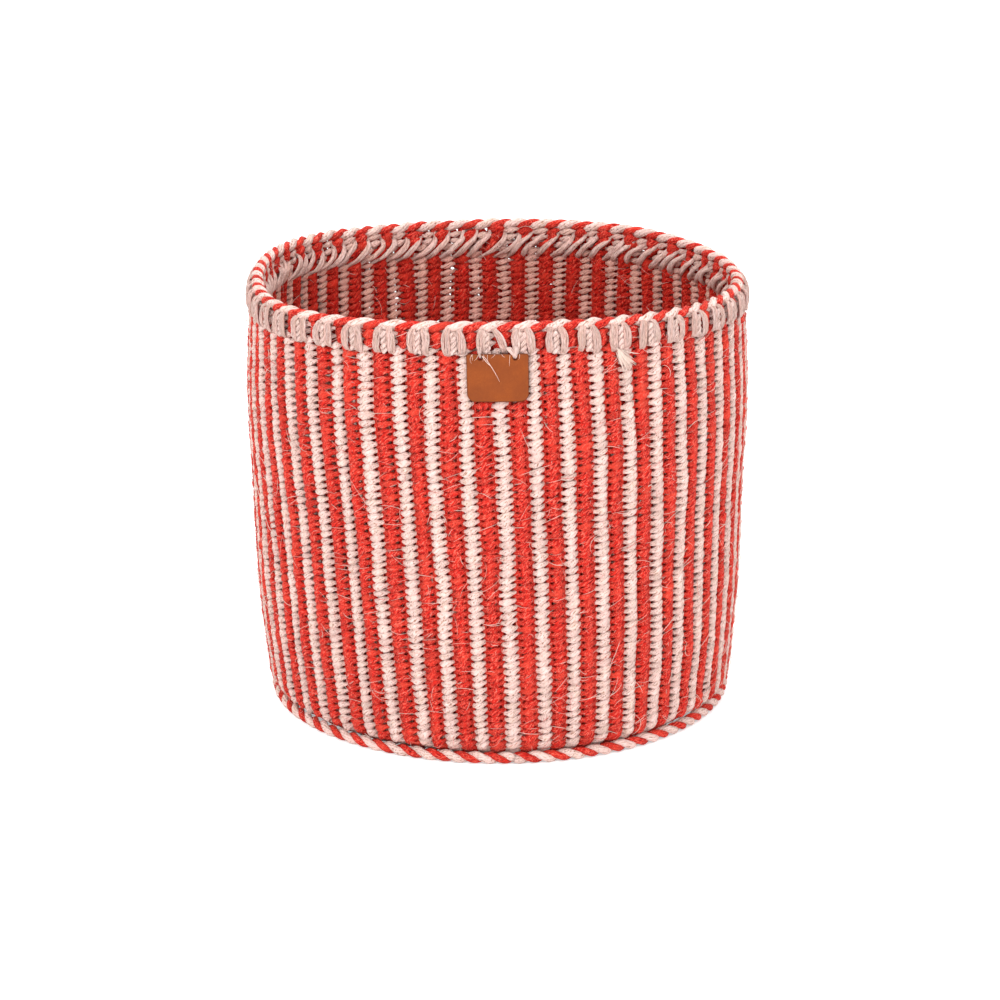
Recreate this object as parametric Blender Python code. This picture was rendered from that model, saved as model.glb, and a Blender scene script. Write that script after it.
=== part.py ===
# Kiondo basket: an open, soft basket twined by hand from sisal.
# Fifty cords are folded in half in the floor, and their hundred ends run out under the floor, up inside
# the wall, slant over the inside of the rim, cross it and are turned down outside as upright floats.
# Two strands, natural and red, twine over them. The stitches that show outside and inside are two skins
# with the cords between them, and the heavier rows at the rim and at the bottom edge are real twisted
# strands. A leather tag hangs from two loops under the rim and lifts.
# Metres, +Z up, front towards -Y, origin at the centre of the flat underside.

import math

import bmesh
import bpy
import numpy as np

# Size and shape of the weave
HEIGHT = 0.214
WEAVE_THICKNESS = 0.0070
FLOOR_RADIUS = 0.1015
CORNER_RADIUS = 0.0125
# Outer radius of the wall, from the top of the rounded corner to the rim
WALL_HEIGHTS = (0.016, 0.0535, 0.107, 0.1605, 0.199, 0.214)
WALL_RADII = (0.1175, 0.1207, 0.1226, 0.1246, 0.1232, 0.1227)
# The hand-made shape: columns lean round the wall, the top sits a little to one side, and the rim is uneven
COLUMN_LEAN = 0.048
TOP_SHIFT = -0.0033
RIM_SWELL = {2: (-0.0010, 0.0), 3: (0.0022, -0.0003), 4: (-0.0018, -0.0003)}
RIM_RISE = {1: (-0.0003, 0.0010), 2: (-0.0007, 0.0), 3: (-0.0006, 0.0006), 4: (0.0, -0.0005)}

# Cords and columns of stitches
CORD_COUNT = 50
COLUMNS = 2 * CORD_COUNT
PITCH = 2 * math.pi / COLUMNS
FRONT_COLUMN = -math.pi / 2 + 0.0134
CORD_RADIUS = 0.0009
FLOAT_RADIUS = 0.0013
FOLD_HALF_WIDTH = 0.0012
# Turn of a cord's three-sided section, so that a flat side of its float faces outwards
CORD_TURN = math.radians(60)
# Radius in the floor at which each cord of a group of five is folded
FOLD_RADII = (0.010, 0.046, 0.028, 0.046, 0.046)

# Skins of stitches, as offsets from the middle of the weave
HIDDEN_OUTSIDE = 0.0016
HIDDEN_INSIDE = 0.00125
STITCH_TOP = WEAVE_THICKNESS / 2
STITCH_EDGE = 0.0029
FLOOR_SKIN_RADIUS = 0.1088
CORNER_STATIONS = (0.0, math.pi / 4, math.pi / 2)
OUTSIDE_SKIN_START = math.radians(55)
WALL_LEVELS = (0.075, 0.140)
OUTSIDE_SKIN_TOP = HEIGHT - 0.0082
INSIDE_SKIN_TOP = HEIGHT - 0.0140

# The rim: slanted cords inside, the crossing under the twisted strands, and the floats outside
SLANT_START = HEIGHT - 0.0130
SLANT_END = HEIGHT - 0.0095
SLANT_DEPTH = 0.0020
SLANT_TURN = 0.55 * PITCH
CROSSING_TURN = 0.90 * PITCH
CROSSING_OFFSET = 0.0010
CROSSING_HEIGHT = HEIGHT - 0.0064
FLOAT_OFFSET = 0.0052
FLOAT_TOP = HEIGHT - 0.0050
FLOAT_END = HEIGHT - 0.0100

# The twisted pairs of strands at the rim and at the bottom edge
STRAND_RADIUS = 0.00150
TWIST_RADIUS = 0.00108
STEPS_PER_TURN = 4
RIM_TWIST_HEIGHT = HEIGHT - 0.0026
EDGE_TWIST_RADIUS = 0.1126
EDGE_TWIST_HEIGHT = 0.0036

# The tag and its loops
TAG_WIDTH = 0.0280
TAG_HEIGHT = 0.0220
TAG_THICKNESS = 0.0015
TAG_CORNER = 0.0025
TAG_AXIS_HEIGHT = HEIGHT - 0.0126
TAG_TOP_DROP = 0.0009
TAG_TOP_OFFSET = 0.0055
TAG_FOOT_OFFSET = 0.0041
TAG_STRIPS = 6
HOLE_ACROSS = 0.0078
HOLE_DROP = 0.0032
HOLE_RADIUS = 0.0010
LOOP_RADIUS = 0.0006
LOOP_GAP = 0.0003
LOOP_CORNER = 0.0004

CORNER_HEIGHT = WEAVE_THICKNESS / 2 + CORNER_RADIUS
WALL_START = FLOOR_RADIUS + CORNER_RADIUS * math.pi / 2
SHARP_ANGLE = math.radians(50)


def make_material(name, colour, roughness):
    material = bpy.data.materials.new(name)
    material.use_nodes = True
    material.diffuse_color = (*colour, 1)
    shader = material.node_tree.nodes["Principled BSDF"]
    shader.inputs["Base Color"].default_value = (*colour, 1)
    shader.inputs["Roughness"].default_value = roughness
    shader.inputs["Metallic"].default_value = 0
    return material


def smooth_through(x, xs, ys):
    """A cubic curve through the points, its slope at each point taken from the two neighbours."""
    xs, ys = np.asarray(xs), np.asarray(ys)
    slopes = np.gradient(ys, xs)
    x = np.clip(x, xs[0], xs[-1])
    i = np.clip(np.searchsorted(xs, x) - 1, 0, len(xs) - 2)
    width = xs[i + 1] - xs[i]
    t = (x - xs[i]) / width
    start = (1 + 2 * t) * (1 - t) ** 2 * ys[i] + t * (1 - t) ** 2 * width * slopes[i]
    end = t**2 * (3 - 2 * t) * ys[i + 1] + t**2 * (t - 1) * width * slopes[i + 1]
    return start + end


def middle_radius(height):
    return smooth_through(height, WALL_HEIGHTS, WALL_RADII) - WEAVE_THICKNESS / 2


def waves(angle, terms):
    """A sum of waves round the basket: {waves per turn: (cosine part, sine part)}."""
    return sum(c * np.cos(n * angle) + s * np.sin(n * angle) for n, (c, s) in terms.items())


def up_wall(height):
    """Distance along the middle of the weave, from the floor's centre to a height on the wall."""
    return WALL_START + height - CORNER_HEIGHT


def round_corner(bend):
    """The same distance to a point of the rounded corner, by its angle from the floor."""
    return FLOOR_RADIUS + CORNER_RADIUS * bend


def weave_point(angle, along, out):
    """Where a point of the weave is, from its column's angle, its distance along the middle and its offset."""
    angle, along, out = np.broadcast_arrays(angle, along, out)
    bend = np.clip((along - FLOOR_RADIUS) / CORNER_RADIUS, 0, math.pi / 2)
    height = CORNER_HEIGHT - CORNER_RADIUS * np.cos(bend) + np.maximum(along - WALL_START, 0)
    step = 0.001
    slope = (middle_radius(height + step) - middle_radius(height - step)) / (2 * step)
    on_wall = along > WALL_START
    radius = np.minimum(along, FLOOR_RADIUS) + CORNER_RADIUS * np.sin(bend)
    radius = np.where(on_wall, middle_radius(height), radius)
    normal_out = np.where(on_wall, 1 / np.hypot(1, slope), np.sin(bend))
    normal_up = np.where(on_wall, -slope / np.hypot(1, slope), -np.cos(bend))
    radius = radius + out * normal_out
    height = height + out * normal_up
    level = height / HEIGHT
    turned = angle + COLUMN_LEAN * (1 - level)
    # The floor is flat and round, and the wall grows uneven towards the rim
    unevenness = (np.maximum(height - CORNER_HEIGHT, 0) / (HEIGHT - CORNER_HEIGHT)) ** 2
    radius = radius + unevenness * waves(turned, RIM_SWELL)
    x = radius * np.cos(turned) + TOP_SHIFT * level
    y = radius * np.sin(turned)
    return np.stack([x, y, height + unevenness * waves(turned, RIM_RISE)], axis=-1)


def new_object(name, mesh, *materials):
    for material in materials:
        mesh.materials.append(material)
    thing = bpy.data.objects.new(name, mesh)
    bpy.context.scene.collection.objects.link(thing)
    return thing


def closed_mesh(name, points, faces):
    """A mesh from points and faces, made to face outwards."""
    mesh = bpy.data.meshes.new(name)
    mesh.from_pydata(np.asarray(points).tolist(), [], faces)
    work = bmesh.new()
    work.from_mesh(mesh)
    bmesh.ops.recalc_face_normals(work, faces=work.faces)
    work.to_mesh(mesh)
    work.free()
    mesh.shade_smooth()
    mesh.set_sharp_from_angle(angle=SHARP_ANGLE)
    return mesh


def swept_tube(name, path, sides, radii, first_side, closed=False):
    """A tube of a few sides along a path. Each ring lies in the plane that halves the path's bend."""
    ahead = np.roll(path, -1, axis=0) - path
    ahead /= np.linalg.norm(ahead, axis=1, keepdims=True)
    behind = np.roll(ahead, 1, axis=0)
    if not closed:
        ahead[-1] = behind[-1]
        behind[0] = ahead[0]
    along = ahead + behind
    along /= np.linalg.norm(along, axis=1, keepdims=True)
    turns = np.arange(sides) * 2 * math.pi / sides
    points = []
    side = first_side
    for i, centre in enumerate(path):
        # The side direction is carried along from point to point
        side = side - behind[i] * side.dot(behind[i])
        side /= np.linalg.norm(side)
        up = np.cross(behind[i], side)
        ring = radii[i] * (np.cos(turns)[:, None] * side + np.sin(turns)[:, None] * up)
        # Slid along the stretch before it, onto the halving plane
        ring -= behind[i] * (ring @ along[i] / behind[i].dot(along[i]))[:, None]
        points.extend(centre + ring)
        side = side - ahead[i] * side.dot(ahead[i])
    return tube_mesh(name, points, sides, closed)


def tube_mesh(name, points, sides, closed):
    """Faces between rings of points that follow each other, with end caps unless the tube is closed."""
    count = len(points) // sides
    faces = [] if closed else [tuple(range(sides)), tuple(range((count - 1) * sides, count * sides))]
    for i in range(count if closed else count - 1):
        here, there = i * sides, (i + 1) % count * sides
        for k in range(sides):
            n = (k + 1) % sides
            # Each side is split along its shorter diagonal, which keeps a twisted tube out of its neighbour
            rising = np.linalg.norm(points[here + k] - points[there + n])
            falling = np.linalg.norm(points[here + n] - points[there + k])
            if rising < falling:
                faces += [(here + k, here + n, there + n), (here + k, there + n, there + k)]
            else:
                faces += [(here + k, here + n, there + k), (here + n, there + n, there + k)]
    return closed_mesh(name, points, faces[::-1])


def warp_leg(column):
    """One end of a cord, from the floor's edge to the end of its float: angle, distance, offset, radius."""
    angle = FRONT_COLUMN + column * PITCH
    stations = [(angle, round_corner(bend), 0.0, CORD_RADIUS) for bend in CORNER_STATIONS]
    stations += [(angle, up_wall(height), 0.0, CORD_RADIUS) for height in (*WALL_LEVELS, SLANT_START)]
    stations += [
        (angle - SLANT_TURN, up_wall(SLANT_END), -SLANT_DEPTH, CORD_RADIUS),
        (angle - CROSSING_TURN, up_wall(CROSSING_HEIGHT), CROSSING_OFFSET, CORD_RADIUS),
        (angle - PITCH, up_wall(FLOAT_TOP), FLOAT_OFFSET, FLOAT_RADIUS),
        (angle - PITCH, up_wall(FLOAT_END), FLOAT_OFFSET, FLOAT_RADIUS),
    ]
    return stations


def make_warp_cord(index, natural):
    """A cord folded in half in the floor, with its two ends in neighbouring columns."""
    fold = FOLD_RADII[index % len(FOLD_RADII)]
    middle = FRONT_COLUMN + (2 * index + 0.5) * PITCH
    reach = math.asin(FOLD_HALF_WIDTH / fold)
    first, second = warp_leg(2 * index), warp_leg(2 * index + 1)
    bend = [(middle - reach, fold, 0.0, CORD_RADIUS), (middle + reach, fold, 0.0, CORD_RADIUS)]
    angles, along, out, radii = np.array(first[::-1] + bend + second).T
    path = weave_point(angles, along, out)
    ahead = path[1] - path[0]
    ahead /= np.linalg.norm(ahead)
    side = weave_point(angles[0], along[0], 1.0) - path[0]
    side -= ahead * side.dot(ahead)
    side /= np.linalg.norm(side)
    side = math.cos(CORD_TURN) * side + math.sin(CORD_TURN) * np.cross(ahead, side)
    name = f"warp_cord_{index + 1:02d}"
    new_object(name, swept_tube(name, path, 3, radii, side), natural)


def ring_points(sides, along, out):
    """Points round the weave from an edge between two columns, with one offset or a repeating pair."""
    angles = FRONT_COLUMN - PITCH / 2 + np.arange(sides) * 2 * math.pi / sides
    return weave_point(angles, along, np.resize(out, sides))


def join_rings(first, first_count, second, second_count):
    """Faces between two rings, where one ring has as many points as the other or a whole multiple."""
    faces = []
    ratio = max(first_count, second_count) // min(first_count, second_count)
    for k in range(max(first_count, second_count)):
        n = k + 1
        if first_count == second_count:
            faces.append((first + k, first + n % first_count, second + n % second_count, second + k))
        elif first_count > second_count:
            near, far = second + k // ratio, second + n // ratio % second_count
            faces.append((first + k, first + n % first_count, near))
            if n % ratio == 0:
                faces.append((first + n % first_count, far, near))
        else:
            near, far = first + k // ratio, first + n // ratio % first_count
            faces.append((near, second + n % second_count, second + k))
            if n % ratio == 0:
                faces.append((near, far, second + n % second_count))
    return faces


def make_skin(name, rings, closed, materials, natural_parity):
    """A skin of stitches from rings of points: (points, distance along, offsets). Its faces take the
    colour of their column, natural and red in turn."""
    points, starts, counts = [], [], []
    for sides, along, out in rings:
        starts.append(len(points))
        counts.append(sides)
        points.extend(ring_points(sides, along, out))
    faces = []
    for i in range(len(rings) if closed else len(rings) - 1):
        j = (i + 1) % len(rings)
        faces += join_rings(starts[i], counts[i], starts[j], counts[j])
    if not closed:
        for i in (0, -1):
            faces.append(tuple(starts[i] + k for k in range(counts[i])))
    mesh = closed_mesh(name, points, faces)
    colours = []
    for face in mesh.polygons:
        x, y, z = face.center
        angle = math.atan2(y, x - TOP_SHIFT * z / HEIGHT) - COLUMN_LEAN * (1 - z / HEIGHT)
        column = math.floor((angle - FRONT_COLUMN) / PITCH + 0.5)
        colours.append((column + natural_parity) % 2)
    mesh.polygons.foreach_set("material_index", colours)
    return new_object(name, mesh, *materials)


def make_outside_skin(materials):
    """The stitches outside the wall: a rib over every upright cord, down to the bottom edge row."""
    ribs = (STITCH_EDGE, STITCH_TOP)
    levels = [round_corner(OUTSIDE_SKIN_START), WALL_START]
    levels += [up_wall(height) for height in (*WALL_LEVELS, OUTSIDE_SKIN_TOP)]
    rings = [(2 * COLUMNS, along, ribs) for along in levels]
    rings += [(CORD_COUNT, along, HIDDEN_OUTSIDE) for along in reversed(levels)]
    make_skin("wall_stitches_outside", rings, True, materials, 0)


def make_inside_skin(materials):
    """The stitches inside the wall and on the floor, in one piece as the strands run on."""
    levels = [round_corner(bend) for bend in CORNER_STATIONS]
    levels += [up_wall(height) for height in (*WALL_LEVELS, INSIDE_SKIN_TOP)]
    rings = [(COLUMNS, along, -STITCH_TOP) for along in levels]
    rings += [(CORD_COUNT, along, -HIDDEN_INSIDE) for along in reversed(levels)]
    make_skin("wall_and_floor_stitches_inside", rings, False, materials, 1)


def make_floor_skin(materials):
    """The stitches under the floor, flat where the basket stands."""
    top = WEAVE_THICKNESS / 2 - HIDDEN_INSIDE
    sides = CORD_COUNT
    angles = FRONT_COLUMN + np.arange(sides) * 2 * math.pi / sides
    circle = FLOOR_SKIN_RADIUS * np.stack([np.cos(angles), np.sin(angles)], axis=1)
    points = [(*p, 0.0) for p in circle] + [(*p, top) for p in circle]
    faces = [tuple(range(sides)), tuple(range(sides, 2 * sides))]
    for k in range(sides):
        n = (k + 1) % sides
        faces.append((k, n, sides + n, sides + k))
    new_object("floor_stitches_under", closed_mesh("floor_stitches_under", points, faces), *materials)


def make_twisted_strand(name, core, outward, direction, half_turn, material):
    """One of two strands that wind round a ring, half a turn apart, once for every two columns.

    core gives the ring's points and outward its outward directions. The strand's flat side faces the ring."""
    steps = CORD_COUNT * STEPS_PER_TURN
    phase = np.arange(steps) * 2 * math.pi / STEPS_PER_TURN * direction + half_turn * math.pi
    tangent = np.roll(core, -1, axis=0) - np.roll(core, 1, axis=0)
    tangent /= np.linalg.norm(tangent, axis=1, keepdims=True)
    upward = np.cross(outward, tangent)
    upward /= np.linalg.norm(upward, axis=1, keepdims=True)
    away = np.cos(phase)[:, None] * outward + np.sin(phase)[:, None] * upward
    beside = np.cross(tangent, away)
    turns = np.arange(3) * 2 * math.pi / 3
    rings = [
        core + (TWIST_RADIUS + STRAND_RADIUS * math.cos(turn)) * away + STRAND_RADIUS * math.sin(turn) * beside
        for turn in turns
    ]
    points = np.stack(rings, axis=1).reshape(-1, 3)
    new_object(name, tube_mesh(name, points, 3, closed=True), material)


def make_rim_strands(natural, red):
    """The twist along the top of the rim, slanting up to the right as seen from outside."""
    steps = CORD_COUNT * STEPS_PER_TURN
    angles = FRONT_COLUMN + np.arange(steps) * 2 * math.pi / steps
    core = weave_point(angles, up_wall(RIM_TWIST_HEIGHT), 0.0)
    outward = weave_point(angles, up_wall(RIM_TWIST_HEIGHT), 1.0) - core
    make_twisted_strand("rim_strand_natural", core, outward, 1, 0, natural)
    make_twisted_strand("rim_strand_red", core, outward, 1, 1, red)


def make_edge_strands(natural, red):
    """The heavier row round the bottom edge, slanting the other way."""
    steps = CORD_COUNT * STEPS_PER_TURN
    angles = FRONT_COLUMN + COLUMN_LEAN + np.arange(steps) * 2 * math.pi / steps
    outward = np.stack([np.cos(angles), np.sin(angles), 0 * angles], axis=1)
    core = EDGE_TWIST_RADIUS * outward + (0, 0, EDGE_TWIST_HEIGHT)
    make_twisted_strand("edge_strand_natural", core, outward, -1, 0, natural)
    make_twisted_strand("edge_strand_red", core, outward, -1, 1, red)


def tag_point(across, drop, out):
    """A point of the tag: its distance right of the middle, below the axis and out from its inner face."""
    height = TAG_AXIS_HEIGHT - drop
    lying = TAG_TOP_OFFSET - (TAG_TOP_OFFSET - TAG_FOOT_OFFSET) * drop / TAG_HEIGHT
    reach = middle_radius(height) + TAG_TOP_OFFSET
    # The tag hangs plumb, so the columns' lean below its axis is taken out again
    lean = COLUMN_LEAN * (TAG_AXIS_HEIGHT - height) / HEIGHT
    return weave_point(FRONT_COLUMN - lean + across / reach, up_wall(height), lying + out)


def make_tag(parent, leather):
    """The leather tag: a rounded plate with two holes, bent to the wall."""
    work = bmesh.new()
    corners = []
    half, top, foot = TAG_WIDTH / 2, TAG_TOP_DROP, TAG_TOP_DROP + TAG_HEIGHT
    for x, y, start in (
        (half - TAG_CORNER, top + TAG_CORNER, -90),
        (half - TAG_CORNER, foot - TAG_CORNER, 0),
        (TAG_CORNER - half, foot - TAG_CORNER, 90),
        (TAG_CORNER - half, top + TAG_CORNER, 180),
    ):
        for step in range(4):
            turn = math.radians(start + 30 * step)
            corners.append((x + TAG_CORNER * math.cos(turn), y + TAG_CORNER * math.sin(turn), 0))
    plate = work.faces.new([work.verts.new(p) for p in corners])
    raised = bmesh.ops.extrude_face_region(work, geom=[plate])["geom"]
    verts = [v for v in raised if isinstance(v, bmesh.types.BMVert)]
    bmesh.ops.translate(work, vec=(0, 0, TAG_THICKNESS), verts=verts)
    mesh = bpy.data.meshes.new("leather_tag")
    work.to_mesh(mesh)
    work.free()
    tag = new_object("leather_tag", mesh, leather)
    for side in (-1, 1):
        cut_hole(tag, side * HOLE_ACROSS, HOLE_DROP)
    bend_tag(tag)
    hang(tag, parent)


def cut_hole(tag, across, drop):
    """Cuts one hole through the flat plate and applies the cut."""
    bpy.ops.mesh.primitive_cylinder_add(
        vertices=8, radius=HOLE_RADIUS, depth=4 * TAG_THICKNESS, location=(across, drop, 0)
    )
    cutter = bpy.context.object
    cut = tag.modifiers.new("hole", "BOOLEAN")
    cut.operation = "DIFFERENCE"
    cut.object = cutter
    bpy.context.view_layer.update()
    cut_mesh = bpy.data.meshes.new_from_object(tag.evaluated_get(bpy.context.evaluated_depsgraph_get()))
    tag.modifiers.remove(cut)
    tag.data = cut_mesh
    bpy.data.objects.remove(cutter)


def bend_tag(tag):
    """Splits the plate into upright strips and lays them on the wall."""
    work = bmesh.new()
    work.from_mesh(tag.data)
    for k in range(1, TAG_STRIPS):
        x = TAG_WIDTH * (k / TAG_STRIPS - 0.5)
        everything = list(work.verts) + list(work.edges) + list(work.faces)
        bmesh.ops.bisect_plane(work, geom=everything, plane_co=(x, 0, 0), plane_no=(1, 0, 0))
    places = np.array([v.co for v in work.verts])
    for vertex, place in zip(work.verts, tag_point(*places.T)):
        vertex.co = place
    bmesh.ops.recalc_face_normals(work, faces=work.faces)
    work.to_mesh(tag.data)
    work.free()


def make_tag_loop(name, side, parent, natural):
    """A loop of sisal through one hole of the tag and round its top edge."""
    across = side * HOLE_ACROSS
    back = -LOOP_GAP - LOOP_RADIUS
    front = TAG_THICKNESS + LOOP_GAP + LOOP_RADIUS
    outline = [
        (HOLE_DROP, back),
        (LOOP_CORNER, back),
        (0, back + LOOP_CORNER),
        (0, front - LOOP_CORNER),
        (LOOP_CORNER, front),
        (HOLE_DROP, front),
    ]
    path = tag_point(across, *np.array(outline).T)
    sideways = path[0] - tag_point(across + LOOP_RADIUS, HOLE_DROP, back)
    radii = [LOOP_RADIUS] * len(path)
    hang(new_object(name, swept_tube(name, path, 4, radii, sideways, closed=True), natural), parent)


def hang(thing, parent):
    """Puts a piece's origin on the tag's axis and parents it there."""
    place = parent.location.copy()
    for vertex in thing.data.vertices:
        vertex.co -= place
    thing.parent = parent


def make_tag_axis():
    """An empty on the axis about which the tag lifts, along X."""
    axis = bpy.data.objects.new("tag_axis", None)
    bpy.context.scene.collection.objects.link(axis)
    axis.empty_display_size = 0.02
    axis.location = tag_point(0.0, 0.0, TAG_THICKNESS / 2)
    return axis


def build():
    for thing in list(bpy.data.objects):
        bpy.data.objects.remove(thing)
    natural = make_material("natural_sisal", (0.78, 0.66, 0.54), 0.9)
    red = make_material("red_sisal", (0.70, 0.045, 0.025), 0.85)
    leather = make_material("tan_leather", (0.42, 0.12, 0.03), 0.6)

    for index in range(CORD_COUNT):
        make_warp_cord(index, natural)
    make_outside_skin((natural, red))
    make_inside_skin((natural, red))
    make_floor_skin((natural, red))
    make_rim_strands(natural, red)
    make_edge_strands(natural, red)

    axis = make_tag_axis()
    make_tag(axis, leather)
    make_tag_loop("tag_loop_left", -1, axis, natural)
    make_tag_loop("tag_loop_right", 1, axis, natural)
    print("tag axis", [round(c, 5) for c in axis.location])


build()
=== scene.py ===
import math

import bmesh
import bpy
import numpy as np
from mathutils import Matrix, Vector


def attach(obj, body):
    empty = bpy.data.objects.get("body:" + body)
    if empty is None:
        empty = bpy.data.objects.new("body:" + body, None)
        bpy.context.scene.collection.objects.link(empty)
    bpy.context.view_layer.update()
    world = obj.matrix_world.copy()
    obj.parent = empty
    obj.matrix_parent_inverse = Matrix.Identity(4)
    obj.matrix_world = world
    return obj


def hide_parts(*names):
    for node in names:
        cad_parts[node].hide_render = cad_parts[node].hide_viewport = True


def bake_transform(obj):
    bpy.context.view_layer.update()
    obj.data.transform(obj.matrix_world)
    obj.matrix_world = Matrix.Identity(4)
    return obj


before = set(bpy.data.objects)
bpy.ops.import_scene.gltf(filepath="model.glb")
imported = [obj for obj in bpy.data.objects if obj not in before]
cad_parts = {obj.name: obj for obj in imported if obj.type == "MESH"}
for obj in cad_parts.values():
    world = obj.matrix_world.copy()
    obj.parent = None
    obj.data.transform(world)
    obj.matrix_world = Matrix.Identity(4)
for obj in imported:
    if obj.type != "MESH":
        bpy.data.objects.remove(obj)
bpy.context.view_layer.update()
dice = np.random.default_rng(11)
mm = 0.001

# The basket's form as its solids have it: heights and radii of the wall's outer face,
# how far the columns lean, and how uneven the round is (waves per turn: cosine, sine part)
form = {
    "height": 214 * mm,
    "thickness": 7 * mm,
    "floorRadius": 101.5 * mm,
    "cornerRadius": 12.5 * mm,
    "wallHeights": (0.016, 0.0535, 0.107, 0.1605, 0.199, 0.214),
    "wallRadii": (0.1175, 0.1207, 0.1226, 0.1246, 0.1232, 0.1227),
    "lean": 0.048,
    "topShift": -0.0033,
    "swell": {2: (-0.0010, 0.0), 3: (0.0022, -0.0003), 4: (-0.0018, -0.0003)},
    "rise": {1: (-0.0003, 0.0010), 2: (-0.0007, 0.0), 3: (-0.0006, 0.0006), 4: (0.0, -0.0005)},
    "columns": 100,
    "frontAngle": -math.pi / 2 + 0.0134,
}
columnTurn = 2 * math.pi / form["columns"]
cornerHeight = form["thickness"] / 2 + form["cornerRadius"]
wallStart = form["floorRadius"] + form["cornerRadius"] * math.pi / 2
top = form["height"]


def smoothStep(x, start, end):
    # 0 before start, 1 after end, a smooth S between
    t = np.clip((x - start) / (end - start), 0, 1)
    return t * t * (3 - 2 * t)


def smoothThrough(x, xs, ys):
    # A cubic through the points, its slope at each point taken from the two neighbours
    xs, ys = np.asarray(xs, float), np.asarray(ys, float)
    slopes = np.gradient(ys, xs)
    x = np.clip(x, xs[0], xs[-1])
    i = np.clip(np.searchsorted(xs, x) - 1, 0, len(xs) - 2)
    width = xs[i + 1] - xs[i]
    t = (x - xs[i]) / width
    start = (1 + 2 * t) * (1 - t) ** 2 * ys[i] + t * (1 - t) ** 2 * width * slopes[i]
    end = t**2 * (3 - 2 * t) * ys[i + 1] + t**2 * (t - 1) * width * slopes[i + 1]
    return start + end


def middleRadius(height):
    # The radius of the middle of the weave: the outer face less half the thickness
    return smoothThrough(height, form["wallHeights"], form["wallRadii"]) - form["thickness"] / 2


def waves(angle, terms):
    # Sum over n of cosinePart * cos(n angle) + sinePart * sin(n angle)
    return sum(c * np.cos(n * angle) + s * np.sin(n * angle) for n, (c, s) in terms.items())


def upWall(height):
    # Distance along the middle of the weave from the floor's centre to a height on the wall
    return wallStart + height - cornerHeight


def weavePoint(angle, along, out):
    # Floor: radius = along, flat. Corner: a quarter circle. Wall: radius from the profile.
    # out is measured square to the weave, outwards and downwards. Then the lean and the waves.
    angle, along, out = np.broadcast_arrays(angle, along, out)
    bend = np.clip((along - form["floorRadius"]) / form["cornerRadius"], 0, math.pi / 2)
    height = cornerHeight - form["cornerRadius"] * np.cos(bend) + np.maximum(along - wallStart, 0)
    step = 0.001
    slope = (middleRadius(height + step) - middleRadius(height - step)) / (2 * step)
    onWall = along > wallStart
    radius = np.minimum(along, form["floorRadius"]) + form["cornerRadius"] * np.sin(bend)
    radius = np.where(onWall, middleRadius(height), radius)
    normalOut = np.where(onWall, 1 / np.hypot(1, slope), np.sin(bend))
    normalUp = np.where(onWall, -slope / np.hypot(1, slope), -np.cos(bend))
    radius = radius + out * normalOut
    height = height + out * normalUp
    level = height / top
    turned = angle + form["lean"] * (1 - level)
    uneven = (np.maximum(height - cornerHeight, 0) / (top - cornerHeight)) ** 2
    radius = radius + uneven * waves(turned, form["swell"])
    x = radius * np.cos(turned) + form["topShift"] * level
    y = radius * np.sin(turned)
    return np.stack([x, y, height + uneven * waves(turned, form["rise"])], axis=-1)


def columnAngle(column):
    return form["frontAngle"] + columnTurn * column


def field(values, across, up):
    # A table of values read between its entries, smoothly: it repeats across and is clamped up
    count, levels = values.shape
    across = np.mod(across, 1) * count
    up = np.clip(up, 0, 1) * (levels - 1)
    i, j = np.floor(across).astype(int) % count, np.minimum(up.astype(int), levels - 2)
    s, t = across - np.floor(across), up - j
    s, t = s * s * (3 - 2 * s), t * t * (3 - 2 * t)
    k = (i + 1) % count
    low = values[i, j] * (1 - s) + values[k, j] * s
    high = values[i, j + 1] * (1 - s) + values[k, j + 1] * s
    return low * (1 - t) + high * t


def perStitch(place, spread):
    # One random number for each whole place, read straight between them
    first, last = math.floor(place.min()) - 1, math.ceil(place.max()) + 2
    return np.interp(place, np.arange(first, last), dice.normal(0, spread, last - first))


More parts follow.
